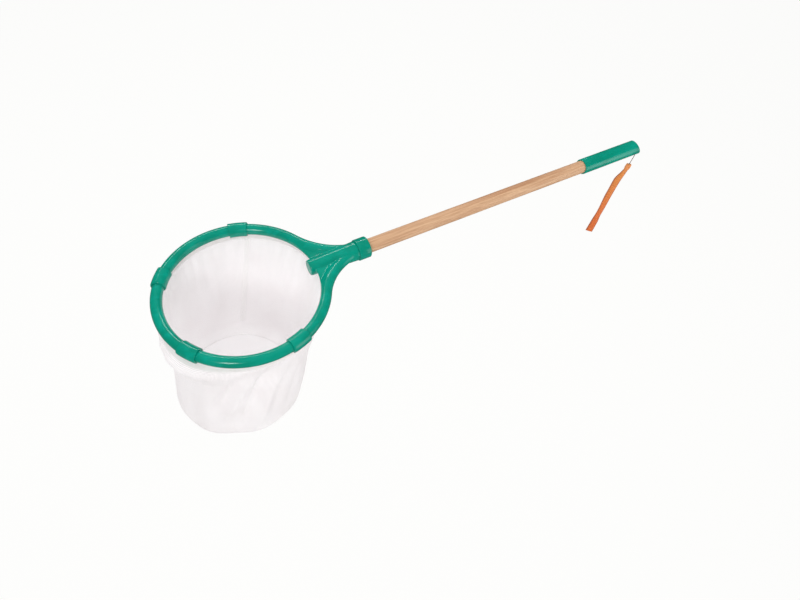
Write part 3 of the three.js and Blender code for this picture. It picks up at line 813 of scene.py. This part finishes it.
def makeStrapThread():
    # A twist: how far out the strands run, how thick they are, how long one turn is, and how many
    look = {"twist": (0.28, 0.3, 2.6, 3), "knot": 0.85, "knotTwist": (0.2, 0.28, 2.6, 2),
            "innerKnot": 1.1, "innerTwist": (0.25, 0.36, 2.6, 2), "innerPlace": 7.6, "start": 7.4,
            "end": 12.1}
    length = strap["thread"]
    straight = [Vector((0, 0, z)) * mm for z in evenSteps(0.5, 0.5 - length, 48)]
    thread = twistedStrands("strapThreadTwist", straight, *look["twist"])
    lower = knotLine(Vector((0, 0, -length * mm)), look["knot"])
    knot = twistedStrands("strapThreadKnot", lower, *look["knotTwist"])
    piece = hangFromPivot(joinAll("strapThread", [thread, knot]))
    settle(piece, darkThread, "strap_thread", 60, "strap_thread")
    inside = [strapLine(out) for out in evenSteps(look["start"], look["end"], 20)]
    anchor = twistedStrands("strapAnchor", inside, *look["twist"])
    upper = knotLine(strapLine(look["innerPlace"]), look["innerKnot"])
    knot = twistedStrands("strapAnchorKnot", upper, *look["innerTwist"])
    piece = joinAll("strapAnchor", [anchor, knot])
    settle(piece, darkThread, "strap_anchor_knot", 60)


ribbon = {"width": 9.6, "neck": 7.2, "spread": 15, "bow": 3.4, "thickness": 0.55, "gap": 0.75,
          "hang": 140, "tuck": 5, "turn": -29, "rows": 96, "columns": 12}


def ribbonPlace(below, across, out):
    # below the keeper's top, across the ribbon's width and out of its face
    turn = radians(ribbon["turn"])
    x = across * cos(turn) - out * sin(turn)
    y = across * sin(turn) + out * cos(turn)
    return Vector((x, y, -strap["keeperTop"] - below)) * mm


def blendMarks(marks, below):
    # Smooth values between marked distances
    for before, after in zip(marks, marks[1:]):
        if below <= after[0]:
            share = eased((below - before[0]) / (after[0] - before[0]))
            return [a + (b - a) * share for a, b in zip(before[1:], after[1:])]
    return marks[-1][1:]


def flatCloth(name, columns, rows):
    # One unit each way, until its points are placed
    bpy.ops.mesh.primitive_grid_add(x_subdivisions=columns, y_subdivisions=rows, size=1)
    return newPiece(name)


def makeRibbonCloth():
    keeper, wide, side = strap["keeper"], ribbon["width"], ribbon["bow"]
    fold = keeper + ribbon["hang"] - ribbon["gap"]
    start = keeper - ribbon["tuck"]
    # distance below, width, sideways bow, twist in degrees, layers' spread
    marks = [(start, ribbon["neck"], 0, 0, 0.35), (keeper, ribbon["neck"], 0.2, 0, 0.35),
             (keeper + ribbon["spread"] * 1.65, wide * 1.14, side * 1.2, -6, 1),
             (fold * 0.42, wide * 1.08, side * 0.95, -4, 0.8),
             (fold * 0.74, wide * 1.02, side * 0.25, 3, 0.6),
             (fold * 0.86, wide * 1.12, side * 0.05, -8, 0.9), (fold, wide * 1.16, 0, -12, 1)]
    # down the front layer, round the fold, up the back one
    rows = [(below, 1) for below in evenSteps(start, fold, ribbon["rows"])]
    for turn in [radians(angle) for angle in range(15, 180, 15)]:
        rows.append((fold + ribbon["gap"] * sin(turn), cos(turn)))
    rows += [(below, -1) for below in evenSteps(fold, start, ribbon["rows"])]
    down = len(rows) - 1
    piece = flatCloth("strapRibbon", ribbon["columns"], down)
    for vertex in piece.data.vertices:
        below, layer = rows[round((0.5 - vertex.co.y) * down)]
        width, bow, twist, spread = blendMarks(marks, min(below, fold))
        share = vertex.co.x
        curl = 0.5 * (share * 2) ** 2 + 0.25 * sin(below * 0.11 + (1 if layer > 0 else 2.2))
        out = layer * ribbon["gap"] * spread + curl * (1 if below > keeper + 3 else 0.1)
        turn = radians(twist)
        across = share * width
        vertex.co = ribbonPlace(below, across * cos(turn) - bow, out + across * sin(turn))
    cleanUp(piece)
    hangFromPivot(piece)
    thicken(piece, ribbon["thickness"])
    return settle(piece, ribbonCloth, "strap_ribbon", 50, "wrist_strap")


def makeKeeper():
    # The ribbon's gathered head: a soft folded block with two rows of stitches
    size = {"width": 8.4, "thickness": 3.9, "rounding": 1.2, "stitches": 5, "pitch": 1.45,
            "stitch": (0.52, 0.2, 0.24), "rows": ((-2.6, 1), (2.4, 0.86))}
    bpy.ops.mesh.primitive_cube_add(size=1)
    block = Vector((size["width"], size["thickness"], strap["keeper"])) * mm
    keeper = newPiece("strapKeeper", dimensions=block)
    startEditing(keeper)
    bpy.ops.mesh.subdivide(number_cuts=5)
    stopEditing()
    addModifier(keeper, "BEVEL", width=size["rounding"] * mm, segments=3, limit_method="ANGLE",
                angle_limit=radians(60))
    addModifier(keeper, "SUBSURF", levels=2, render_levels=2)
    for vertex in keeper.data.vertices:  # gathered at the top, where the thread holds it
        up = vertex.co.z / (strap["keeper"] * mm)
        vertex.co.x *= 1 - 0.2 * max(0, up) - 0.16 * max(0, -up)
        vertex.co.y *= 1 - 0.12 * max(0, up) + 0.05 * cos(vertex.co.x / mm * 2.2)
    pieces = [keeper]
    for row, narrowing in size["rows"]:
        for i in range(size["stitches"]):
            x = (i - (size["stitches"] - 1) / 2) * size["pitch"] * narrowing
            bpy.ops.mesh.primitive_uv_sphere_add(segments=10, ring_count=6, radius=mm)
            pieces.append(newPiece("keeperStitch", scale=size["stitch"],
                                   location=Vector((x, -size["thickness"] / 2 * 0.97, row)) * mm))
    piece = applyPlace(joinAll("strapKeeper", pieces), rotation_euler=(0, 0, radians(ribbon["turn"])),
                       location=(0, 0, -(strap["keeperTop"] + strap["keeper"] / 2) * mm))
    hangFromPivot(piece)
    settle(piece, keeperCloth, "strap_keeper", 50, "wrist_strap")


bag = {"hemEnd": -16, "top": -9, "depth": 197, "waist": 89.5, "base": 90.5, "corner": 13, "lean": 9.4,
       "cloth": 0.5, "seamAngle": 67}
bulge = {"angle": 208, "out": 18, "width": 32, "start": 8, "full": 25, "ease": 28, "end": 72}
drape = {"ripple": 0.9, "ripples": 37, "rippleStart": 6, "rippleEnd": 26, "loose": 40, "sway": 1.3,
         "flutter": 0.8}
bagLean = tan(radians(bag["lean"]))
baseShift = (bag["depth"] + bag["hemEnd"]) * bagLean  # the lean carries the base this far towards the tip


def bagLine(count):
    # (radius, height) down the wall at even steps, smoothed as cloth hangs
    cornerZ = -bag["depth"] + bag["corner"]
    waistZ = (bag["hemEnd"] + cornerZ) / 2
    marks = [(hoop["radius"], bag["top"]), (hoop["radius"], bag["hemEnd"]),
             ((hoop["radius"] + bag["waist"]) / 2, bag["hemEnd"] * 0.75 + waistZ * 0.25),
             (bag["waist"], waistZ), (bag["base"], cornerZ)]
    for turn in [radians(angle) for angle in range(15, 91, 15)]:
        marks.append((bag["base"] - bag["corner"] * (1 - cos(turn)), cornerZ - bag["corner"] * sin(turn)))
    lengths = [0]
    for before, after in zip(marks, marks[1:]):
        lengths.append(lengths[-1] + dist(before, after))
    line = []
    for want in evenSteps(0, lengths[-1], count - 1):
        at = max(k for k in range(len(marks) - 1) if lengths[k] <= want + 1e-9)
        share = (want - lengths[at]) / (lengths[at + 1] - lengths[at])
        line.append([a + (b - a) * share for a, b in zip(marks[at], marks[at + 1])])
    for _ in range(6):
        line = [line[0]] + [[(a[k] + 2 * b[k] + c[k]) / 4 for k in (0, 1)]
                            for a, b, c in zip(line, line[1:], line[2:])] + [line[-1]]
    return line


# Folds in the cloth: start and end as (degrees round the hoop, height), how wide and how deep
clothFolds = [
    ((-112, -22), (-134, -140), 8, -7.0),
    ((-103, -24), (-125, -160), 8, 5.6),
    ((-94, -26), (-112, -182), 8, -7.6),
    ((-82, -30), (-97, -180), 9, 5.4),
    ((-58, -40), (-70, -170), 10, -2.8),
    ((-150, -60), (-158, -180), 12, -2.6),
    ((96, -24), (88, -150), 9, -2.2),
    ((140, -24), (150, -130), 10, 2.4),
    ((20, -24), (28, -150), 10, -2.4),
]


def foldDepth(angle, height):
    # How far the folds push the cloth outwards at a place
    total = 0
    for (startAngle, startZ), (endAngle, endZ), width, depth in clothFolds:
        share = (height - startZ) / (endZ - startZ)
        middle = startAngle + (endAngle - startAngle) * share
        away = radians(abs(turnBetween(angle, middle))) * hoop["radius"]
        fade = max(0, min(1, share * 4, (1 - share) * 4))
        total += depth * fade * exp(-(away / width) ** 2)
    return total


def bulgeDepth(angle, height):
    # The cloth pushes out beside the hoop's low side, just under the hem
    rise = (-height - bulge["start"]) / (bulge["full"] - bulge["start"])
    fall = (bulge["end"] + height) / (bulge["end"] - bulge["ease"])
    away = turnBetween(angle, bulge["angle"])
    return bulge["out"] * exp(-(away / bulge["width"]) ** 2) * eased(rise) * eased(fall)


def clothPlace(angle, radius, height, out=0):
    # A point of the bag's wall, leaned and folded, in metres
    below = max(0, bag["hemEnd"] - height)
    loose = min(1, below / drape["loose"])
    turn = radians(angle)
    ripple = drape["ripple"] * sin(drape["ripples"] * turn + 1.6 * sin(3 * turn))
    ripple *= (1 - exp(-below / drape["rippleStart"])) * exp(-below / drape["rippleEnd"])
    sway = drape["sway"] * sin(5 * turn + below * 0.012) + foldDepth(angle, height)
    sway += drape["flutter"] * sin(9 * turn - below * 0.02 + 1.1)
    total = radius + out + ripple + sway * loose + bulgeDepth(angle, height)
    place = hoopPlace(angle, total, height)
    place.x -= below * bagLean * mm
    return place


def makeBagWall():
    look = {"columns": 288, "rows": 84}
    line = bagLine(look["rows"] + 1)
    wall = flatCloth("bagWall", look["columns"], look["rows"])
    for vertex in wall.data.vertices:  # the flat cloth is rolled up and hung
        radius, height = line[round((0.5 - vertex.co.y) * look["rows"])]
        vertex.co = clothPlace(bag["seamAngle"] + 360 * vertex.co.x, radius, height)
    cleanUp(wall)
    thicken(wall, bag["cloth"])
    return settle(wall, meshCloth, "bag_wall", 60)


def makeBagBase():
    look = {"rings": 26, "sides": 192, "gap": 0.1, "sag": 2.6, "pucker": 0.5, "cloth": (0.6, 0.2)}
    radius = bag["base"] - bag["corner"] - look["gap"]
    bpy.ops.mesh.primitive_circle_add(vertices=look["sides"], radius=radius * mm, fill_type="NGON",
                                      location=hoopPlace(0, 0, -bag["depth"]))
    base = newPiece("bagBase")
    startEditing(base)
    for _ in range(look["rings"]):
        bpy.ops.mesh.inset(thickness=radius / (look["rings"] + 1) * mm, depth=0)
    bpy.ops.mesh.poke()
    stopEditing()
    flat = base.data.uv_layers["UVMap"].data
    for loop in base.data.loops:  # as wide a mesh as the wall's
        x, y, _ = base.data.vertices[loop.vertex_index].co
        flat[loop.index].uv = (x / look["cloth"][0], y / look["cloth"][1])
    for vertex in base.data.vertices:
        x, y = vertex.co.x / mm - hoop["x"], vertex.co.y / mm
        share = hypot(x, y) / radius
        pucker = look["pucker"] * sin(13 * atan2(y, x)) * share ** 6
        sag = look["sag"] * (1 - share ** 2) * 0.4
        vertex.co.z += (pucker - sag + 0.5 * sin(x * 0.06) * (1 - share)) * mm
        vertex.co.x -= baseShift * mm
    thicken(base, bag["cloth"])
    return settle(base, baseCloth, "bag_base", 60)


def makeSideSeam():
    # A folded seam down the inside of the bag
    look = {"width": 7, "inset": 0.75, "thickness": 0.7, "top": -18, "bottom": -181, "rows": 90}
    seam = flatCloth("bagSideSeam", 8, look["rows"])
    line = bagLine(400)
    for vertex in seam.data.vertices:
        height = look["top"] + (look["bottom"] - look["top"]) * (0.5 - vertex.co.y)
        radius = min(line, key=lambda point: abs(point[1] - height))[0]
        angle = bag["seamAngle"] + degrees(vertex.co.x * look["width"] / radius)
        pucker = 0.12 * sin(height * 1.9) * (abs(vertex.co.x) * 2)
        vertex.co = clothPlace(angle, radius, height, -look["inset"] + pucker)
    thicken(seam, look["thickness"])
    addModifier(seam, "BEVEL", width=0.2 * mm, segments=2, limit_method="ANGLE", angle_limit=radians(50))
    return settle(seam, seamCloth, "bag_side_seam", 50)


def roundCord(name, centre, radius, thickness, steps, sides):
    bpy.ops.mesh.primitive_torus_add(major_segments=steps, minor_segments=sides, major_radius=radius * mm,
                                     minor_radius=thickness * mm, location=centre)
    return newPiece(name)


def makeBaseSeam():
    # A rolled seam where the base meets the wall
    look = {"radius": 0.75, "gap": 0.3, "height": 1.7, "steps": 300, "sides": 10, "stitches": 150}
    ringRadius = bag["base"] - bag["corner"] - look["gap"]
    centre = hoopPlace(0, 0, look["height"] - bag["depth"]) - Vector((baseShift * mm, 0, 0))
    seam = roundCord("bagBaseSeam", centre, ringRadius, look["radius"], look["steps"], look["sides"])
    for vertex in seam.data.vertices:  # drawn in by each stitch
        turn = atan2(vertex.co.y - centre.y, vertex.co.x - centre.x)
        vertex.co.z += 0.12 * sin(turn * look["stitches"]) * mm
    return settle(seam, baseCloth, "bag_base_seam", 60)


def makeHemTape():
    # One tape folded over the cord, whose two tails hold the bag's top edge
    profile = [(-hem["tail"], bag["hemEnd"] + hem["tailHeight"] * i / 4) for i in range(4)]
    entry = asin(hem["tail"] / hem["fold"])
    for turn in evenSteps(1.5 * pi - entry, entry - 0.5 * pi, 18):
        profile.append((hem["fold"] * cos(turn), -hem["drop"] + hem["fold"] * sin(turn)))
    profile += [(-out, up) for out, up in profile[3::-1]]
    tape = drawOutline("hemTape", [hoopPlace(0, hoop["radius"] + out, up) / mm for out, up in profile])
    spinRoundHoop(hem["steps"], 360)
    stopEditing()
    cleanUp(tape)
    for vertex in tape.data.vertices:  # the free edges of the tails wave a little
        up = acrossTube(vertex.co)[1]
        angle = angleOf(vertex.co)
        wave = max(0, (-8 - up) / 8) * 0.3 * sin(radians(angle) * 37)
        pushOut(vertex, wave + bulgeDepth(angle, up))
    thicken(tape, hem["skin"])
    return settle(tape, whiteTape, "hem_tape", 50)


def makeHemCord():
    look = {"steps": 720, "sides": 14, "core": 0.94, "strand": 0.06, "strands": 3, "twists": 110}
    cord = roundCord("hemCord", hoopPlace(0, 0, -hem["drop"]), hoop["radius"], hem["cord"] * look["core"],
                     look["steps"], look["sides"])
    for vertex in cord.data.vertices:  # strands wound together
        out, up = acrossTube(vertex.co)
        up += hem["drop"]
        turn = look["strands"] * atan2(up, out) + look["twists"] * radians(angleOf(vertex.co))
        grow = look["strand"] * cos(turn)
        pushOut(vertex, out * grow, up * grow)
    settle(cord, whiteCord, "hem_cord", 60)


def makeHemStitches():
    # One stitch, copied round both tails
    look = {"count": 132, "length": 2.9, "width": 0.4, "height": -13.6}
    copies = []
    bpy.ops.mesh.primitive_uv_sphere_add(segments=8, ring_count=6, radius=mm)
    half = look["width"] / 2
    stitch = newPiece("hemStitch", scale=(half, look["length"] / 2, half))
    for out in (-1, 1):
        for i in range(look["count"]):
            angle = 360 * i / look["count"]
            copy = stitch.copy()
            copy.data = stitch.data.copy()
            scene.collection.objects.link(copy)
            away = hoop["radius"] + out * (hem["tail"] + hem["skin"] / 2 + 0.12)
            copy.location = hoopPlace(angle, away + bulgeDepth(angle, look["height"]), look["height"])
            copy.rotation_euler = (0, 0, radians(angle))
            copies.append(copy)
    bpy.data.objects.remove(stitch)
    return settle(joinAll("hemStitches", copies), whiteCord, smoothAngle=60)


makeHoopTubes()
makeSleeves()
makeYoke()
makeScrew("socketScrew", "socket_screw", screws["socketX"], fork["socket"])
makeScrew("gripScrew", "grip_screw", screws["gripX"], grip["radius"])
makeCollar()
makeHandle()
makeGrip()
print("hard pieces made")
makeStrapThread()
ribbonPiece = makeRibbonCloth()
makeKeeper()
print("strap made")
wallPiece = makeBagWall()
basePiece = makeBagBase()
sideSeam = makeSideSeam()
baseSeam = makeBaseSeam()
hemTape = makeHemTape()
makeHemCord()
hemStitches = makeHemStitches()
print("bag made")

# "shown" is how white the floor is to the camera, "mirrored" what a reflection sees of it
room = {"floor": -0.9, "middle": -0.3, "size": 14, "colour": (0.93, 0.93, 0.925, 1),
        "white": (0.995, 0.995, 0.985, 1), "shown": 0.92, "mirrored": 0.12}
sky = {"light": 0.57, "mirrored": 0.05, "shown": 1.0}
# Name, place, what it points at, size, power, whether reflections show it, and spread
lamps = [
    ("topLamp", (-0.4, 0.15, 2.0), (-0.4, 0, 0), (2.6, 2.4), 17, False, 180),
    ("keyLamp", (-1.55, -1.05, 0.95), (-0.5, 0, -0.05), (0.36, 0.5), 8.6, True, 180),
    ("backLamp", (-0.05, 1.75, 1.4), (-0.45, 0, 0), (1.8, 0.12), 13.5, True, 180),
    ("gripLamp", (0.95, -1.15, -0.05), (0.35, 0, 0), (1.7, 1.3), 3.2, True, 77),
]


def makeFloor():
    bpy.ops.mesh.primitive_plane_add(size=room["size"], location=(room["middle"], 0, room["floor"]))
    floor = newPiece("studioFloor")
    finish = Finish("paleFloor")
    rays = finish.node("LightPath", {}, {}).outputs
    seen = Number(finish, rays["Is Camera Ray"]) + Number(finish, rays["Is Transmission Ray"])
    matt = finish.node("BsdfDiffuse", {}, {"Color": room["colour"]}).outputs[0]
    bright = finish.glow("Emission", room["white"], 1.0)
    dim = finish.glow("Emission", room["white"], room["mirrored"])
    shader = finish.either(seen.atMost(1) * room["shown"], matt, bright)
    shader = finish.either(rays["Is Glossy Ray"], shader, dim)
    finish.node("OutputMaterial", {}, {"Surface": shader})
    floor.data.materials.append(finish.owner)


def makeSky():
    finish = Finish("studioWorld", "worlds")
    scene.world = finish.owner
    rays = finish.node("LightPath", {}, {}).outputs
    light, dim, bright = [finish.glow("Background", room["white"], sky[key]) for key in sky]
    shader = finish.either(rays["Is Glossy Ray"], light, dim)
    shader = finish.either(rays["Is Camera Ray"], shader, bright)
    finish.node("OutputWorld", {}, {"Surface": shader})


def addLamp(name, place, target, size, power, mirrored, spread):
    bpy.ops.object.light_add(type="AREA", location=place)
    lamp = bpy.context.object
    lamp.name = name
    lamp.data.shape = "RECTANGLE"
    lamp.data.size, lamp.data.size_y = size
    lamp.data.energy = power
    lamp.data.spread = radians(spread)
    lamp.rotation_euler = (Vector(target) - Vector(place)).to_track_quat("-Z", "Y").to_euler()
    lamp.visible_glossy = mirrored


makeFloor()
makeSky()
for lamp in lamps:
    addLamp(*lamp)
print("stage made")
